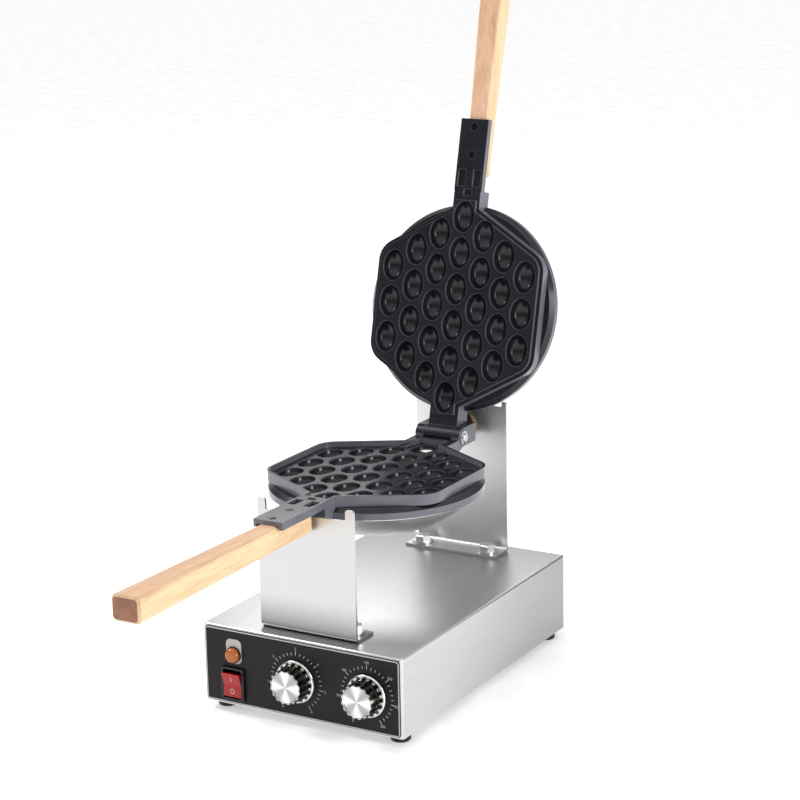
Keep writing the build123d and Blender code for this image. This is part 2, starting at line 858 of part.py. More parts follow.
def plate(mould, top, tray):
    """Cast plate: hexagon on a round flange, neck and channelled lug, without pits.

    A tray is sunk into the lower plate; the lid has a raised step that enters it.
    """
    lug_middle = (0, -(lug_end + neck_end) / 2)
    screw_places = [
        (0, -handle_screw_first),
        (0, -handle_screw_first - handle_screw_pitch),
    ]
    with BuildPart() as cast:
        with BuildSketch(mould.offset(top)):
            hexagon(hex_apothem)
            Rectangle(neck_width, 2 * lobe_end)
        extrude(amount=-hex_height - top)
        with BuildSketch(crosscut(mould, 0)):
            with BuildLine():
                Polyline(
                    (0, -hex_height),
                    (disc_radius - disc_chamfer, -hex_height),
                    (disc_radius, -hex_height - disc_chamfer),
                    (disc_radius, -disc_bottom),
                    (0, -disc_bottom),
                    close=True,
                )
            make_face()
        revolve(axis=Axis(mould.origin, mould.z_dir))
        with BuildSketch(mould.offset(top)):
            with Locations((0, -(neck_end + hex_apothem) / 2)):
                Rectangle(neck_width, neck_end - hex_apothem)
        extrude(amount=-neck_depth - top)
        with BuildSketch(mould.offset(top)):
            with Locations(lug_middle):
                Rectangle(lug_width, lug_end - neck_end)
        extrude(amount=-lug_flange - top)
        with BuildSketch(mould.offset(top - lug_plate)):
            with Locations((0, -(lug_end + neck_end + journal_length + 8) / 2)):
                Rectangle(
                    lug_width - 2 * lug_wall, lug_end - neck_end - journal_length - 8
                )
        extrude(amount=-lug_flange, mode=Mode.SUBTRACT)
        if tray:
            with BuildSketch(mould.offset(top)):
                hexagon(hex_apothem - hex_rim)
                Rectangle(pit_width + 2 * neck_step, 2 * tray_reach)
            extrude(amount=-tray_depth, mode=Mode.SUBTRACT)
        else:
            with BuildSketch(mould.offset(top)):
                hexagon(hex_apothem - hex_rim - step_gap)
                Rectangle(pit_width, 2 * (tray_reach - neck_step))
            extrude(amount=lid_step)
        with BuildSketch(mould.offset(top)):
            with Locations((0, -(neck_end + slot_length / 2 + 4))):
                with GridLocations(slot_web + slot_width, 1, 2, 1):
                    Rectangle(slot_width, slot_length)
        extrude(amount=-slot_depth, mode=Mode.SUBTRACT)
        with BuildSketch(mould.offset(top)):
            with Locations((0, -(lobe_end + pocket_length / 2 + 0.4))):
                Rectangle(pocket_width, pocket_length)
        extrude(amount=-pocket_depth, mode=Mode.SUBTRACT)
        with BuildSketch(mould.offset(top)):
            with Locations(*screw_places):
                Circle(handle_screw_head / 2 + seat)
        extrude(amount=-lug_plate / 2, mode=Mode.SUBTRACT)
        with BuildSketch(mould.offset(top)):
            with Locations(*screw_places):
                Circle(handle_screw / 2 + seat)
        extrude(amount=-lug_plate, mode=Mode.SUBTRACT)
        with BuildSketch(mould.offset(-disc_bottom)):
            Circle(boss_radius)
        extrude(amount=disc_bottom - boss_end)
        with BuildSketch(mould.offset(-boss_end)):
            Circle(cover_screw / 2 + pin_fit)
        extrude(amount=boss_end - disc_bottom - 6, mode=Mode.SUBTRACT)
    return cast


def heater(mould):
    """Bent tube element: most of a ring, seated on the outer face of a plate."""
    depth = disc_bottom + seat + heater_tube / 2
    with BuildPart() as ring:
        with BuildSketch(crosscut(mould, 0)):
            with Locations((heater_radius, -depth)):
                Circle(heater_tube / 2)
        revolve(
            axis=Axis(mould.origin, mould.z_dir),
            revolution_arc=360 - heater_opening,
        )
    return ring


def insulation(mould):
    """Ring of ceramic wool between the heater and the cover."""
    top = disc_bottom + heater_tube + 2 * seat
    floor = disc_bottom + cover_drop - cover_sheet - slip
    with BuildPart() as wool:
        with BuildSketch(crosscut(mould, 0)):
            with BuildLine():
                Polyline(
                    (boss_radius + slip, -top),
                    (insulation_radius, -top),
                    (insulation_radius, -top - insulation_thickness),
                    (cover_bottom_radius - 2, -floor),
                    (boss_radius + slip, -floor),
                    close=True,
                )
            make_face()
        revolve(axis=Axis(mould.origin, mould.z_dir))
    return wool


def cover(mould):
    """Pressed steel dish over the heater, open towards the plate."""
    rim = disc_bottom + seat
    floor = disc_bottom + cover_drop
    skin = cover_sheet
    hole = cover_screw / 2 + seat
    lip = cover_lip + rim
    middle = rim + cover_mid_drop
    with BuildPart() as dish:
        with BuildSketch(crosscut(mould, 0)):
            with BuildLine():
                Line((cover_top_radius, -rim), (cover_top_radius, -lip))
                ThreePointArc(
                    (cover_top_radius, -lip),
                    (cover_mid_radius, -middle),
                    (cover_bottom_radius, -floor),
                )
                Polyline(
                    (cover_bottom_radius, -floor),
                    (hole, -floor),
                    (hole, skin - floor),
                    (cover_bottom_radius, skin - floor),
                )
                ThreePointArc(
                    (cover_bottom_radius, skin - floor),
                    (cover_mid_radius - 0.7 * skin, 0.7 * skin - middle),
                    (cover_top_radius - skin, -lip),
                )
                Polyline(
                    (cover_top_radius - skin, -lip),
                    (cover_top_radius - skin, -rim),
                    (cover_top_radius, -rim),
                )
            make_face()
        revolve(axis=Axis(mould.origin, mould.z_dir))
    return dish


def cover_screw_piece(mould):
    """Domed screw that holds the cover to the boss of the plate."""
    head = disc_bottom + cover_drop + seat
    with BuildPart() as screw:
        with BuildSketch(mould.offset(-head)):
            Circle(cover_screw_head)
        extrude(amount=-cover_screw_height)
        outer = screw.edges().sort_by_distance(mould.origin)[-1]
        fillet(outer, cover_screw_height * 0.7)
        with BuildSketch(mould.offset(-head)):
            Circle(cover_screw / 2)
        extrude(amount=cover_drop / 2)
    return screw


def handle(mould, top):
    """Wood handle: straight under the lug, then swelling to the end."""
    upper = -top + lug_plate + seat
    with BuildPart() as wood:
        with BuildSketch(crosscut(mould, handle_start)):
            with Locations((0, -(upper + handle_bottom) / 2)):
                RectangleRounded(handle_width, handle_bottom - upper, handle_round)
        extrude(amount=lug_end + 2 - handle_start)
        with BuildSketch(crosscut(mould, lug_end + 2)):
            with Locations((0, -(upper + handle_bottom) / 2)):
                RectangleRounded(handle_width, handle_bottom - upper, handle_round)
        with BuildSketch(crosscut(mould, handle_end)):
            with Locations((0, -(handle_end_top + handle_bottom) / 2)):
                RectangleRounded(
                    handle_end_width, handle_bottom - handle_end_top, handle_round
                )
        loft()
        end = wood.faces().sort_by_distance(mould.origin)[-1]
        chamfer(end.edges(), handle_round * 0.4)
        with BuildSketch(mould.offset(-upper)):
            with Locations(
                (0, -handle_screw_first),
                (0, -handle_screw_first - handle_screw_pitch),
            ):
                Circle(handle_screw / 2 + pin_fit)
        extrude(amount=-handle_screw_length, mode=Mode.SUBTRACT)
    return wood


def handle_screws(mould, top):
    """Two screws down through the lug into the wood, with sunk heads."""
    places = [
        (0, -handle_screw_first),
        (0, -handle_screw_first - handle_screw_pitch),
    ]
    with BuildPart() as screws:
        with BuildSketch(mould.offset(top - lug_plate / 2 + pin_fit)):
            with Locations(*places):
                Circle(handle_screw_head / 2)
        extrude(amount=lug_plate / 2 - 2 * pin_fit)
        with BuildSketch(mould.offset(top - lug_plate / 2 + pin_fit)):
            with Locations(*places):
                Circle(handle_screw / 2)
        extrude(amount=-handle_screw_length)
        with BuildSketch(mould.offset(top)):
            with Locations(*places):
                Rectangle(handle_screw_head * 0.8, 1.0)
                Rectangle(1.0, handle_screw_head * 0.8)
        extrude(amount=-0.8, mode=Mode.SUBTRACT)
    return screws


# Lower plate: journal under the lug, rear arms round the pin, and the crossbar
lower_blank = plate(lower_mould, 0, True)
with BuildPart() as lower_plate:
    add(lower_blank.part)
    with BuildSketch(crosscut(lower_mould, neck_end), mode=Mode.PRIVATE) as journal:
        Circle(journal_radius)
        with Locations((0, journal_radius - slot_depth - 0.6)):
            Rectangle(4 * journal_radius, 2 * journal_radius, mode=Mode.SUBTRACT)
    extrude(journal.sketch, amount=journal_length + 6)
    for arm_start in (-arm_outer, arm_inner):
        with BuildSketch(side(arm_start)):
            with Locations((hinge_y, parting_z)):
                Circle(knuckle_radius)
            with BuildLine():
                Polyline(
                    (pan_centre + arm_root, parting_z - arm_drop),
                    (pan_centre + arm_tail, parting_z - hex_height - 2),
                    (pan_centre + arm_tail, parting_z - disc_bottom + 1),
                    (pan_centre + disc_radius - 3, parting_z - disc_bottom + 2),
                    (hinge_y, parting_z - knuckle_radius),
                    (crossbar_back, parting_z - knuckle_radius),
                    (crossbar_back, parting_z + knuckle_radius),
                    (hinge_y, parting_z + knuckle_radius),
                    (hinge_y - knuckle_radius, parting_z - arm_drop),
                    close=True,
                )
            make_face()
        extrude(amount=arm_thickness)
    with BuildSketch(side(-arm_outer)):
        with Locations(((crossbar_front + crossbar_back) / 2, parting_z)):
            Rectangle(crossbar_length, 2 * knuckle_radius)
    extrude(amount=2 * arm_outer)
    with BuildSketch(across(crossbar_back)):
        with Locations((0, parting_z)):
            Circle(knuckle_radius + 4)
    extrude(amount=crossbar_back - boss_back)
    with BuildSketch(across(boss_back)):
        with Locations((0, parting_z)):
            Circle(trunnion_radius + pin_fit)
    extrude(amount=trunnion_grip, mode=Mode.SUBTRACT)
    with BuildSketch(side(-arm_outer - 1)):
        with Locations((hinge_y, parting_z)):
            Circle(pin_radius + pin_fit)
    extrude(amount=2 * arm_outer + 2, mode=Mode.SUBTRACT)
    cut_pits(lower_mould, -tray_depth)
save(lower_plate, "lower_plate")

# Upper plate: middle arm to the pin, with a heel that lands on the crossbar
upper_blank = plate(lid_mould, lid_top, False)
heel_z = parting_z + knuckle_radius + stop_gap
with BuildPart() as upper_plate:
    add(upper_blank.part)
    with BuildSketch(side(-knuckle_width / 2)):
        with Locations((hinge_y, parting_z)):
            Circle(knuckle_radius)
        with BuildLine():
            Polyline(
                leaning(0, mould_gap),
                leaning(36, mould_gap),
                leaning(36, disc_bottom - 2),
                (crossbar_front + crossbar_length * 0.9, heel_z),
                (hinge_y + knuckle_radius - 1.5, heel_z),
                (hinge_y + knuckle_radius * 0.7, parting_z + knuckle_radius * 0.7),
                close=True,
            )
        make_face()
    extrude(amount=knuckle_width)
    with BuildSketch(side(-knuckle_width)):
        with Locations((hinge_y, parting_z)):
            Circle(pin_radius + pin_fit)
    extrude(amount=2 * knuckle_width, mode=Mode.SUBTRACT)
    cut_pits(lid_mould, lid_top + lid_step)
save(upper_plate, "upper_plate")

# Heating, covers and handles of both halves
save(heater(lower_mould), "lower_heater")
save(heater(lid_mould), "upper_heater")
save(insulation(lower_mould), "lower_insulation")
save(insulation(lid_mould), "upper_insulation")
save(cover(lower_mould), "lower_cover")
save(cover(lid_mould), "upper_cover")
save(cover_screw_piece(lower_mould), "lower_cover_screw")
save(cover_screw_piece(lid_mould), "upper_cover_screw")
save(handle(lower_mould, 0), "lower_handle")
save(handle(lid_mould, lid_top), "upper_handle")
save(handle_screws(lower_mould, 0), "lower_handle_screws")
save(handle_screws(lid_mould, lid_top), "upper_handle_screws")

# Hinge pin with a groove and a clip at each end
clip_x = arm_outer + 0.2
with BuildPart() as hinge_pin:
    with BuildSketch(side(-clip_x - clip_thickness - 2)):
        with Locations((hinge_y, parting_z)):
            Circle(pin_radius)
    extrude(amount=2 * (clip_x + clip_thickness + 2))
    for groove_x in (clip_x, -clip_x - clip_thickness):
        with BuildSketch(side(groove_x)):
            with Locations((hinge_y, parting_z)):
                Circle(pin_radius + 1)
                Circle(pin_radius - clip_groove, mode=Mode.SUBTRACT)
        extrude(amount=clip_thickness, mode=Mode.SUBTRACT)
    chamfer(hinge_pin.faces().filter_by(Axis.X).sort_by(Axis.X)[0].edges(), 0.6)
    chamfer(hinge_pin.faces().filter_by(Axis.X).sort_by(Axis.X)[-1].edges(), 0.6)
save(hinge_pin, "hinge_pin")

with BuildPart() as pin_clips:
    for groove_x in (clip_x, -clip_x - clip_thickness):
        with BuildSketch(side(groove_x + pin_fit)):
            with Locations((hinge_y, parting_z)):
                Circle(clip_radius)
                Circle(pin_radius - clip_groove + pin_fit, mode=Mode.SUBTRACT)
            with Locations((hinge_y, parting_z - clip_radius)):
                Rectangle(pin_radius * 1.1, 2 * clip_radius, mode=Mode.SUBTRACT)
        extrude(amount=clip_thickness - 2 * pin_fit)
save(pin_clips, "pin_clips")

# Swivel: hollow trunnion in a flanged bush, held by a collar and its screw
trunnion_back = bush_back + slip + collar_length + 3
with BuildPart() as trunnion:
    with BuildSketch(across(trunnion_back)):
        with Locations((0, parting_z)):
            Circle(trunnion_radius)
            Circle(trunnion_bore, mode=Mode.SUBTRACT)
    extrude(amount=trunnion_back - boss_back + trunnion_grip - seat)
save(trunnion, "trunnion")

with BuildPart() as trunnion_bush:
    with BuildSketch(across(bush_back)):
        with Locations((0, parting_z)):
            Circle(bush_outer)
    extrude(amount=bush_back - bush_face)
    with BuildSketch(across(bush_face + bush_flange)):
        with Locations((0, parting_z)):
            Circle(bush_flange_radius)
    extrude(amount=bush_flange)
    with BuildSketch(across(bush_back + 1)):
        with Locations((0, parting_z)):
            Circle(trunnion_radius + pin_fit)
    extrude(amount=bush_back - bush_face + 2, mode=Mode.SUBTRACT)
save(trunnion_bush, "trunnion_bush")

collar_front = bush_back + slip
collar_middle = Plane((0, collar_front + collar_length / 2, parting_z))
with BuildPart() as trunnion_collar:
    with BuildSketch(across(collar_front + collar_length)):
        with Locations((0, parting_z)):
            Circle(collar_radius)
            Circle(trunnion_radius + pin_fit, mode=Mode.SUBTRACT)
    extrude(amount=collar_length)
    chamfer(trunnion_collar.faces().sort_by(Axis.Y)[-1].edges(), 0.6)
    with BuildSketch(collar_middle):
        Circle(foot_screw / 2 + seat / 2)
    extrude(amount=2 * collar_radius, mode=Mode.SUBTRACT)
save(trunnion_collar, "trunnion_collar")

with BuildPart() as collar_screw:
    with BuildSketch(collar_middle.offset(trunnion_radius + seat)):
        Circle(foot_screw / 2)
    extrude(amount=collar_radius - trunnion_radius - 1)
save(collar_screw, "collar_screw")
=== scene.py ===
"""Looks of the bubble waffle maker: materials, fine pieces, light and camera."""

import json
import math
from math import cos, radians, sin

import bpy
from mathutils import Matrix, Vector


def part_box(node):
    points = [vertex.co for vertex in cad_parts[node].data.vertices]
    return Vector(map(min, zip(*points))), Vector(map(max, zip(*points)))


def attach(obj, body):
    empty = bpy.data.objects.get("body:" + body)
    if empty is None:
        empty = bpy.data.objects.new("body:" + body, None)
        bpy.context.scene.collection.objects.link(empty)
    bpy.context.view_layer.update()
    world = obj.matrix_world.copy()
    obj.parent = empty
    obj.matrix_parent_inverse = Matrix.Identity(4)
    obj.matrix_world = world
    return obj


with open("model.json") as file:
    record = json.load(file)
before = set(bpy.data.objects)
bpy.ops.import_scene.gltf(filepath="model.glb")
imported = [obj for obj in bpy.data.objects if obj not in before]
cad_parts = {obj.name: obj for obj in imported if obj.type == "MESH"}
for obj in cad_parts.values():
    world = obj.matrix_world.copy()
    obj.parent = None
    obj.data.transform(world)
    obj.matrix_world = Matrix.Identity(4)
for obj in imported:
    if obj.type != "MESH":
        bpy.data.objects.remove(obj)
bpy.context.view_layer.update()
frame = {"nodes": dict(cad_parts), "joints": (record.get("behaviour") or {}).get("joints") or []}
nodes = frame["nodes"]
joints = {joint["name"]: joint for joint in frame["joints"]}
bpy.context.scene.view_settings.view_transform = "Standard"

# Camera, fitted to the photograph in the frame's axes
CAMERA_AZIMUTH = radians(30.4)
CAMERA_ELEVATION = radians(14.68)
CAMERA_ROLL = radians(-1.19)
CAMERA_PLACE = Vector((1.04619, -1.68193, 0.80044))
CAMERA_LENS = 103.2
CAMERA_SENSOR = 36.0

# Depth of the bump on brushed metal, on moulded pieces, and on coatings and wood
BRUSHED_DEPTH = 0.0002
MOULDED_DEPTH = 0.0001
COATED_DEPTH = 0.0003

# The lid stands this far past upright at rest
LEAN = radians(joints["lid_hinge"]["range_deg"][1] - 90)
LID_FACE = (0.0, -cos(LEAN), sin(LEAN))
LID_UP = (0.0, sin(LEAN), cos(LEAN))

# Knobs: bright skirt by the panel, painted shade in the flutes round the grip, painted highlight
# rays on the cap
SKIRT = 0.0035
SKIRT_BLEND = 0.0004
FLUTES = 16.0
HIGHLIGHT_RAYS = 4.0
SPUN_SHADE = 0.5
SPUN_FINENESS = 4000.0


def colour(r, g, b):
    """Colour with full alpha."""
    return (r, g, b, 1.0)


def grey(tone):
    """Neutral colour."""
    return colour(tone, tone, tone)


def shaded(value, share):
    """Colour brought down to a share of its brightness."""
    return colour(*(share * c for c in value[:3]))


WHITE = grey(1.0)


def fill_ramp(band, stops):
    """Give a colour ramp its stops, each a position and a colour."""
    while len(band.elements) < len(stops):
        band.elements.new(0.5)
    for element, (position, value) in zip(band.elements, stops):
        element.position = position
        element.color = value


class Shader:
    """One node material, built step by step."""

    def __init__(self, name):
        self.material = bpy.data.materials.new(name)
        self.material.use_nodes = True
        self.tree = self.material.node_tree
        self.surface = self.tree.nodes["Principled BSDF"]

    def node(self, kind, **settings):
        made = self.tree.nodes.new(kind)
        for key, value in settings.items():
            setattr(made, key, value)
        return made

    def feed(self, value, target):
        """Link a socket to an input, or set the input to a plain value."""
        if isinstance(value, bpy.types.NodeSocket):
            self.tree.links.new(value, target)
        else:
            target.default_value = value

    def set(self, **values):
        """Feed the surface's inputs, whose names are written with underscores."""
        for key, value in values.items():
            self.feed(value, self.surface.inputs[key.replace("_", " ")])

    def number(self, operation, *values):
        """Result of a Math node."""
        made = self.node("ShaderNodeMath", operation=operation)
        for value, target in zip(values, made.inputs):
            self.feed(value, target)
        return made.outputs["Value"]

    def vector(self, operation, *values, result="Vector"):
        """Result of a Vector Math node."""
        made = self.node("ShaderNodeVectorMath", operation=operation)
        for value, target in zip(values, made.inputs):
            self.feed(value, target)
        return made.outputs[result]

    def place(self):
        """Point on the piece, in the piece's own coordinates."""
        return self.node("ShaderNodeTexCoord").outputs["Object"]

    def split(self, source):
        """Outputs X, Y and Z of a vector."""
        made = self.node("ShaderNodeSeparateXYZ")
        self.feed(source, made.inputs["Vector"])
        return made.outputs

    def coordinates(self, scale=(1, 1, 1), turn=(0, 0, 0)):
        """The piece's own coordinates, turned and scaled for a texture."""
        mapping = self.node("ShaderNodeMapping")
        mapping.inputs["Scale"].default_value = scale
        mapping.inputs["Rotation"].default_value = turn
        self.feed(self.place(), mapping.inputs["Vector"])
        return mapping.outputs["Vector"]

    def noise(self, vector, scale, detail=4.0, roughness=0.55, distortion=0.0):
        made = self.node("ShaderNodeTexNoise")
        made.inputs["Scale"].default_value = scale
        made.inputs["Detail"].default_value = detail
        made.inputs["Roughness"].default_value = roughness
        made.inputs["Distortion"].default_value = distortion
        self.feed(vector, made.inputs["Vector"])
        return made.outputs["Fac"]

    def ramp(self, factor, stops):
        made = self.node("ShaderNodeValToRGB")
        fill_ramp(made.color_ramp, stops)
        self.feed(factor, made.inputs["Fac"])
        return made.outputs["Color"]

    def remap(self, source, start, end, low=0.0, high=1.0, kind="LINEAR"):
        """Carry the range start to end over to low to high, with no values past it."""
        made = self.node("ShaderNodeMapRange", interpolation_type=kind)
        made.inputs["From Min"].default_value = start
        made.inputs["From Max"].default_value = end
        made.inputs["To Min"].default_value = low
        made.inputs["To Max"].default_value = high
        self.feed(source, made.inputs["Value"])
        return made.outputs["Result"]

    def spread(self, factor, low, high):
        """Carry 0 to 1 over to low to high."""
        return self.remap(factor, 0.0, 1.0, low, high)

    def edges(self, radius, low=0.9, high=0.995):
        """1 on sharp edges and 0 on faces, from rounded against true normals."""
        soft = self.node("ShaderNodeBevel", samples=6)
        soft.inputs["Radius"].default_value = radius
        true = self.node("ShaderNodeNewGeometry")
        alike = self.vector(
            "DOT_PRODUCT", soft.outputs["Normal"], true.outputs["Normal"], result="Value"
        )
        return self.remap(alike, high, low)

    def facing(self, direction, low, high):
        """1 where the piece's own surface looks along a direction, 0 where it doesn't."""
        normal = self.node("ShaderNodeTexCoord").outputs["Normal"]
        alike = self.vector("DOT_PRODUCT", normal, direction, result="Value")
        return self.remap(alike, low, high)

    def off_axis(self, centre):
        """Offset of a point from a knob's axis, which runs along Y."""
        offset = self.vector("SUBTRACT", self.place(), centre)
        return self.vector("MULTIPLY", offset, (1, 0, 1))

    def lobes(self, offset, count):
        """0 to 1 round the axis, 1 at the right and at every count-th of a turn."""
        parts = self.split(offset)
        angle = self.number("ARCTAN2", parts["Z"], parts["X"])
        wave = self.number("COSINE", self.number("MULTIPLY", angle, count))
        return self.remap(wave, -1.0, 1.0)

    def mix(self, factor, first, second, kind="MIX"):
        """Two colours, each a socket or a value, mixed by a socket or a number."""
        made = self.node("ShaderNodeMixRGB", blend_type=kind)
        self.feed(factor, made.inputs["Fac"])
        self.feed(first, made.inputs["Color1"])
        self.feed(second, made.inputs["Color2"])
        return made.outputs["Color"]

    def bump(self, height, strength, distance):
        made = self.node("ShaderNodeBump")
        made.inputs["Strength"].default_value = strength
        made.inputs["Distance"].default_value = distance
        self.feed(height, made.inputs["Height"])
        self.set(Normal=made.outputs["Normal"])


def brushed(name, light, dark, grain, rough=(0.24, 0.4)):
    """Metal with fine grain lines; grain squeezes the noise across them."""
    s = Shader(name)
    lines = s.noise(s.coordinates(scale=grain), 1.0, detail=6.0, roughness=0.7)
    cloud = s.noise(s.coordinates(), 9.0, detail=2.0)
    s.set(
        Metallic=1.0,
        Base_Color=s.ramp(lines, [(0.3, dark), (0.7, light)]),
        Roughness=s.spread(s.number("MULTIPLY", lines, cloud), *rough),
    )
    s.bump(lines, 0.06, BRUSHED_DEPTH)
    return s.material


def shade_painted_sheet(name, tones, span, grain, axis="Z", fine_tone=0.93, rough=(0.3, 0.42)):
    """Brushed sheet with painted shade: it runs from one tone to the other over a span of an axis,
    the tones standing in for lit and shaded steel.
    """
    s = Shader(name)
    lines = s.noise(s.coordinates(scale=grain), 1.0, detail=6.0, roughness=0.7)
    # Painted shade: the tone runs from lit to shaded over the span of the axis
    painted_shade_ramp = s.remap(s.split(s.place())[axis], *span, kind="SMOOTHSTEP")
    fine = s.ramp(lines, [(0.3, grey(fine_tone)), (0.7, WHITE)])
    s.set(
        Metallic=1.0,
        Base_Color=s.mix(1.0, s.mix(painted_shade_ramp, *tones), fine, "MULTIPLY"),
        Roughness=s.spread(lines, *rough),
    )
    s.bump(lines, 0.03, BRUSHED_DEPTH)
    return s.material


def plain(name, value, rough, bump=0.08, size=900.0, **more):
    """Plastic, rubber, paint or dark metal with a fine moulded surface."""
    s = Shader(name)
    grain = s.noise(s.coordinates(), size, detail=3.0)
    cloud = s.noise(s.coordinates(), size / 40, detail=2.0)
    s.set(
        Base_Color=s.ramp(cloud, [(0.3, shaded(value, 0.86)), (0.7, value)]),
        Roughness=s.spread(grain, rough * 0.85, rough * 1.2),
        **more,
    )
    s.bump(grain, bump, MOULDED_DEPTH)
    return s.material


def casting(name, face):
    """Dark non-stick coating on cast metal, with a painted highlight on its edges and a painted
    sheen on its outer walls.
    """
    s = Shader(name)
    peel = s.noise(s.coordinates(), 650.0, detail=3.0)
    cloud = s.noise(s.coordinates(), 24.0, detail=3.0)
    tone = s.ramp(cloud, [(0.3, colour(0.007, 0.0075, 0.011)), (0.75, colour(0.013, 0.0135, 0.02))])
    # Painted sheen: outer walls, which face neither along the plate's face nor against it, get this
    # paler tone
    painted_wall_sheen = s.ramp(cloud, [(0.3, colour(0.12, 0.12, 0.145)), (0.75, colour(0.17, 0.17, 0.2))])
    away = s.facing(tuple(-v for v in face), -0.25, 0.0)
    toward = s.facing(face, -0.25, 0.0)
    body = s.mix(s.number("MULTIPLY", away, toward), tone, painted_wall_sheen)
    s.set(
        # Painted highlight: sharp edges are painted paler
        Base_Color=s.mix(s.edges(0.001), body, colour(0.085, 0.085, 0.1)),
        Roughness=s.spread(peel, 0.16, 0.24),
        Specular_IOR_Level=0.45,
    )
    s.bump(peel, 0.08, COATED_DEPTH)
    return s.material


def wood(name, scale, turn, top, end):
    """Pale varnished hardwood; grain along the handle, pinker on top, dark at its sawn end."""
    s = Shader(name)
    vector = s.coordinates(scale=scale, turn=turn)
    rings = s.noise(vector, 1.0, detail=4.0, roughness=0.55, distortion=0.6)
    pores = s.noise(vector, 6.0, detail=6.0, roughness=0.7)
    cream = [
        (0.3, colour(0.72, 0.48, 0.26)),
        (0.46, colour(0.86, 0.62, 0.37)),
        (0.7, colour(0.9, 0.69, 0.43)),
    ]
    pink = [
        (0.3, colour(0.58, 0.35, 0.22)),
        (0.5, colour(0.7, 0.44, 0.28)),
        (0.75, colour(0.76, 0.52, 0.35)),
    ]
    sawn = [(0.35, colour(0.26, 0.12, 0.07)), (0.65, colour(0.4, 0.2, 0.12))]
    sides = s.mix(s.facing(top, 0.55, 0.85), s.ramp(rings, cream), s.ramp(rings, pink))
    whole = s.mix(s.facing(end, 0.6, 0.9), sides, s.ramp(rings, sawn))
    fleck = s.ramp(pores, [(0.4, colour(0.8, 0.74, 0.68)), (0.52, WHITE)])
    s.set(
        Base_Color=s.mix(0.55, whole, fleck, "MULTIPLY"),
        Roughness=s.spread(pores, 0.4, 0.55),
        Specular_IOR_Level=0.35,
    )
    s.bump(pores, 0.08, COATED_DEPTH)
    return s.material


def grip(name, centre, skirt_back, skirt_front):
    """Smoked chrome grip with painted shade in its flutes; its skirt by the panel is bright."""
    s = Shader(name)
    zone = s.remap(s.split(s.place())["Y"], skirt_front, skirt_back)
    lobes = s.lobes(s.off_axis(centre), FLUTES)
    # Painted shade: the flutes are painted dark, the ribs between them stay bright
    flute_shade = s.ramp(lobes, [(0.25, colour(0.6, 0.59, 0.57)), (0.6, colour(0.06, 0.056, 0.05))])
    grain = s.noise(s.coordinates(), 900.0, detail=3.0)
    s.set(
        Metallic=1.0,
        Base_Color=s.mix(zone, flute_shade, colour(0.85, 0.85, 0.86)),
        Roughness=s.spread(grain, 0.1, 0.18),
    )
    s.bump(grain, 0.04, MOULDED_DEPTH)
    return s.material


def turned(name, value, centre):
    """Spun metal: fine rings, and broad rays of painted highlight round the knob's own axis."""
    s = Shader(name)
    offset = s.off_axis(centre)
    rings = s.node("ShaderNodeTexNoise", noise_dimensions="1D")
    rings.inputs["Scale"].default_value = SPUN_FINENESS
    rings.inputs["Detail"].default_value = 4.0
    s.feed(s.vector("LENGTH", offset, result="Value"), rings.inputs["W"])
    # Painted highlight: bright rays round the axis, with painted shade between them
    ray_highlight = s.ramp(
        s.lobes(offset, HIGHLIGHT_RAYS), [(0.15, shaded(value, SPUN_SHADE)), (0.85, value)]
    )
    ringed = s.ramp(rings.outputs["Fac"], [(0.3, grey(0.88)), (0.7, WHITE)])
    s.set(Metallic=1.0, Roughness=0.22, Base_Color=s.mix(1.0, ray_highlight, ringed, "MULTIPLY"))
    s.bump(rings.outputs["Fac"], 0.1, MOULDED_DEPTH)
    return s.material


# Grain of the brushed sheets: noise squeezed across the lines and drawn out along them
ALONG_Y = (1100, 12, 1100)
ALONG_Z = (1100, 1100, 12)

# Painted shade: the housing is painted lighter at the front and darker towards the back
steel_housing = shade_painted_sheet(
    "steel_housing",
    tones=(colour(0.74, 0.74, 0.75), colour(0.4, 0.4, 0.41)),
    span=(-0.06, 0.26),
    grain=ALONG_Y,
    axis="Y",
    fine_tone=0.84,
    rough=(0.26, 0.4),
)
# Painted reflection: the front bracket is painted dark at its foot and bright towards its top
steel_bracket = shade_painted_sheet(
    "steel_bracket", tones=(grey(0.32), grey(0.68)), span=(0.083, 0.12), grain=ALONG_Z
)
# Painted reflection: the rear bracket is painted darker at its foot and brighter towards its top
steel_rear = shade_painted_sheet("steel_rear", tones=(grey(0.62), grey(0.8)), span=(0.083, 0.11), grain=ALONG_Z)
steel_dish = brushed("steel_dish", grey(0.84), grey(0.7), (60, 60, 60), rough=(0.22, 0.34))
steel_small = brushed("steel_small", grey(0.8), grey(0.6), (300, 300, 300))
cast_lower = casting("cast_lower", (0, 0, 1))
cast_upper = casting("cast_upper", LID_FACE)
wood_lower = wood("wood_lower", (70, 5, 70), (0, 0, 0), top=(0, 0, 1), end=(0, -1, 0))
wood_upper = wood("wood_upper", (70, 70, 5), (LEAN, 0, 0), top=LID_FACE, end=LID_UP)
panel_black = plain(
    "panel_black", colour(0.006, 0.006, 0.007), 0.38, size=1500.0, Specular_IOR_Level=0.25
)
print_white = plain("print_white", colour(0.5, 0.5, 0.48), 0.5)
border_grey = plain("border_grey", grey(0.55), 0.4)
screw_black = plain("screw_black", colour(0.03, 0.03, 0.035), 0.3, Metallic=1.0)
switch_black = plain("switch_black", grey(0.008), 0.2, Specular_IOR_Level=0.4)
rocker_red = plain(
    "rocker_red", colour(0.42, 0.004, 0.006), 0.2, Coat_Weight=0.1, Specular_IOR_Level=0.4
)
lamp_orange = plain(
    "lamp_orange", colour(0.42, 0.1, 0.008), 0.12, Coat_Weight=0.4, Subsurface_Weight=0.05
)
foot_rubber = plain("foot_rubber", grey(0.01), 0.7, bump=0.2)
control_white = plain("control_white", colour(0.7, 0.69, 0.65), 0.5)
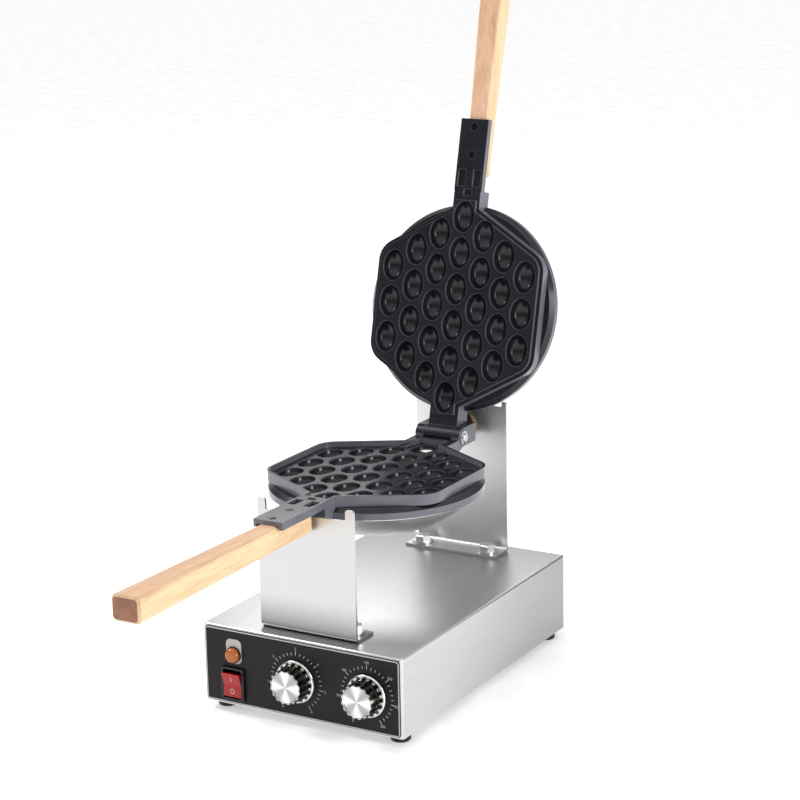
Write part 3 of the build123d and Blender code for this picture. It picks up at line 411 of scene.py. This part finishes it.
ceramic_wool = plain("ceramic_wool", colour(0.85, 0.83, 0.78), 0.9, bump=0.8, size=400.0)
heater_tube = brushed(
    "heater_tube", colour(0.36, 0.33, 0.31), colour(0.22, 0.2, 0.2), (200, 200, 200)
)
bronze = plain("bronze", colour(0.6, 0.42, 0.2), 0.3, Metallic=1.0)


def middle(node):
    """Middle of a node's box at rest."""
    low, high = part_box(node)
    return tuple((a + b) / 2 for a, b in zip(low, high))


def paint(material, *names):
    """Give CAD nodes a material in all their slots."""
    for name in names:
        for slot in nodes[name].material_slots:
            slot.material = material


paint(steel_housing, "housing", "floor_plate")
paint(steel_bracket, "front_bracket")
paint(steel_rear, "rear_bracket")
paint(steel_dish, "lower_cover", "upper_cover")
paint(
    steel_small,
    "foot_screws",
    "foot_nuts",
    "front_bracket_bolts",
    "rear_bracket_bolts",
    "front_bracket_nuts",
    "rear_bracket_nuts",
    "control_nuts",
    "timer_shaft",
    "temperature_shaft",
    "lower_cover_screw",
    "upper_cover_screw",
    "hinge_pin",
    "pin_clips",
    "trunnion",
    "trunnion_collar",
    "collar_screw",
)
paint(screw_black, "lower_handle_screws", "upper_handle_screws")
paint(cast_lower, "lower_plate")
paint(cast_upper, "upper_plate")
paint(wood_lower, "lower_handle")
paint(wood_upper, "upper_handle")
paint(panel_black, "control_panel")
paint(border_grey, "panel_border")
paint(print_white, "timer_dial", "temperature_dial", "label_tag")
paint(switch_black, "switch_body", "lamp_body", "mains_gland", "gland_nut")
paint(rocker_red, "power_rocker")
paint(lamp_orange, "lamp_lens")
paint(foot_rubber, "feet")
paint(control_white, "timer_body", "thermostat_body", "terminal_block")
paint(ceramic_wool, "lower_insulation", "upper_insulation")
paint(heater_tube, "lower_heater", "upper_heater")
paint(bronze, "trunnion_bush")
for knob in ("timer_knob", "temperature_knob"):
    skirt_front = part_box(knob)[1][1] - SKIRT
    paint(grip(knob + "_grip", middle(knob), skirt_front + SKIRT_BLEND, skirt_front), knob)
for cap in ("timer_knob_cap", "temperature_knob_cap"):
    paint(turned(cap + "_silver", colour(0.86, 0.86, 0.87), middle(cap)), cap)


def added(name, data):
    """New object in the scene that holds a mesh, curve, light or camera."""
    made = bpy.data.objects.new(name, data)
    bpy.context.scene.collection.objects.link(made)
    return made


# Numbers of the dials, flat and just in front of the panel's border
PANEL_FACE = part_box("panel_border")[0][1]
NUMERAL = 0.0034
NUMERAL_LIFT = 0.00002
NUMERAL_RING = 0.0305


def numeral(name, body, x, z):
    """Number on the panel, centred at a point."""
    curve = bpy.data.curves.new(name, "FONT")
    curve.body = body
    curve.size = NUMERAL
    curve.align_x = "CENTER"
    curve.align_y = "CENTER"
    curve.materials.append(print_white)
    made = added(name, curve)
    made.location = (x, PANEL_FACE - NUMERAL_LIFT, z)
    made.rotation_euler = (radians(90), 0, 0)
    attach(made, "base")


def dial_numbers(dial, values):
    """Numbers round a knob's travel, clockwise from the lower left."""
    centre = middle(dial + "_knob")
    low, high = joints[dial + "_turn"]["range_deg"]
    sweep = high - low
    for i, value in enumerate(values):
        angle = radians(90 + sweep / 2 - i * sweep / (len(values) - 1))
        x = centre[0] + NUMERAL_RING * cos(angle)
        z = centre[2] + NUMERAL_RING * sin(angle)
        numeral("%s_number_%d" % (dial, i), value, x, z)


dial_numbers("timer", ["0", "1", "2", "3", "4", "5", "6"])
dial_numbers("temperature", ["0", "50", "100", "150", "200", "250", "300"])

# Marks of the rocker, which rests at one end of its travel
ROCKER_PIVOT = Vector(joints["rocker_tilt"]["pos_m"])
ROCKER_TURN = radians(-joints["rocker_tilt"]["range_deg"][0] / 2)
ROCKER_RISE = 0.0065
ROCKER_DISH = 0.0025
ROCKER_HALF = 0.0122
MARK_LIFT = 0.000125
BAR_WIDTH = 0.0008
BAR_HEIGHT = 0.0044
RING_OUTER = 0.0024
RING_INNER = 0.0017


def rocker_mark(name, side, outline, hole=()):
    """Flat white mark on the rocker's upper face, side 1, or its lower one, side -1."""
    slope = side * math.atan2(ROCKER_DISH, ROCKER_HALF)
    centre = side * ROCKER_HALF / 2
    lift = ROCKER_RISE - ROCKER_DISH / 2 + MARK_LIFT
    tilt = Matrix.Rotation(ROCKER_TURN, 3, "X")
    points = [
        tilt @ Vector((x, -lift - z * slope, centre + z)) + ROCKER_PIVOT
        for x, z in [*outline, *hole]
    ]
    count = len(outline)
    faces = [tuple(range(count))]
    if hole:
        faces = [(i, (i + 1) % count, count + (i + 1) % count, count + i) for i in range(count)]
    mesh = bpy.data.meshes.new(name)
    mesh.from_pydata(points, [], faces)
    mesh.materials.append(print_white)
    made = added(name, mesh)
    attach(made, "rocker")


def bar(width, height):
    """Corners of an upright bar."""
    x, z = width / 2, height / 2
    return [(-x, -z), (x, -z), (x, z), (-x, z)]


def ring(radius, count=28):
    """Points of a circle."""
    step = 2 * math.pi / count
    return [(radius * cos(i * step), radius * sin(i * step)) for i in range(count)]


rocker_mark("mark_on", 1, bar(BAR_WIDTH, BAR_HEIGHT))
rocker_mark("mark_off", -1, ring(RING_OUTER), ring(RING_INNER))

# Floor, room and lamps
FLOOR_HALF = 40.0
FLOOR_GLOW = 0.32
WALL = [(0.0, 0.6), (0.08, 0.6), (0.2, 0.22), (0.3, 0.17), (0.42, 0.5), (0.7, 1.0)]

floor_mesh = bpy.data.meshes.new("floor")
corners = [(FLOOR_HALF * x, FLOOR_HALF * y, 0) for x, y in ((-1, -1), (1, -1), (1, 1), (-1, 1))]
floor_mesh.from_pydata(corners, [], [(0, 1, 2, 3)])
floor_pale = plain(
    "floor_pale",
    grey(0.86),
    0.9,
    bump=0.0,
    Emission_Color=WHITE,
    Emission_Strength=FLOOR_GLOW,
)
floor_mesh.materials.append(floor_pale)
floor = added("floor", floor_mesh)

world = bpy.data.worlds.new("studio")
bpy.context.scene.world = world
world.use_nodes = True
sky = world.node_tree
place = sky.nodes.new("ShaderNodeTexCoord")
split = sky.nodes.new("ShaderNodeSeparateXYZ")
band = sky.nodes.new("ShaderNodeValToRGB")
fill_ramp(band.color_ramp, [(height, grey(bright)) for height, bright in WALL])
sky.links.new(place.outputs["Generated"], split.inputs["Vector"])
sky.links.new(split.outputs["Z"], band.inputs["Fac"])
sky.links.new(band.outputs["Color"], sky.nodes["Background"].inputs["Color"])


def softbox(name, place, aim, width, height, power):
    """Rectangular area light that looks at a point."""
    lamp = bpy.data.lights.new(name, "AREA")
    lamp.shape = "RECTANGLE"
    lamp.size = width
    lamp.size_y = height
    lamp.energy = power
    made = added(name, lamp)
    made.location = place
    made.rotation_euler = (Vector(aim) - Vector(place)).to_track_quat("-Z", "Y").to_euler()


softbox("key", place=(-1.8, -0.3, 2.1), aim=(0, 0.1, 0.25), width=1.0, height=1.0, power=34)
softbox("side", place=(2.2, -0.35, 0.6), aim=(0, 0.15, 0.4), width=0.6, height=1.5, power=26)
softbox("back", place=(-0.66, 1.5, 0.95), aim=(0, 0, 0.1), width=0.9, height=0.3, power=3.5)

back = Vector(
    (
        sin(CAMERA_AZIMUTH) * cos(CAMERA_ELEVATION),
        -cos(CAMERA_AZIMUTH) * cos(CAMERA_ELEVATION),
        sin(CAMERA_ELEVATION),
    )
)
level = Vector((cos(CAMERA_AZIMUTH), sin(CAMERA_AZIMUTH), 0))
upright = back.cross(level)
right = level * cos(CAMERA_ROLL) + upright * sin(CAMERA_ROLL)
up = upright * cos(CAMERA_ROLL) - level * sin(CAMERA_ROLL)
lens = bpy.data.cameras.new("camera")
lens.lens = CAMERA_LENS
lens.sensor_width = CAMERA_SENSOR
camera = added("camera", lens)
aim = Matrix((right, up, back)).transposed().to_4x4()
camera.matrix_world = Matrix.Translation(CAMERA_PLACE) @ aim
bpy.context.scene.camera = camera
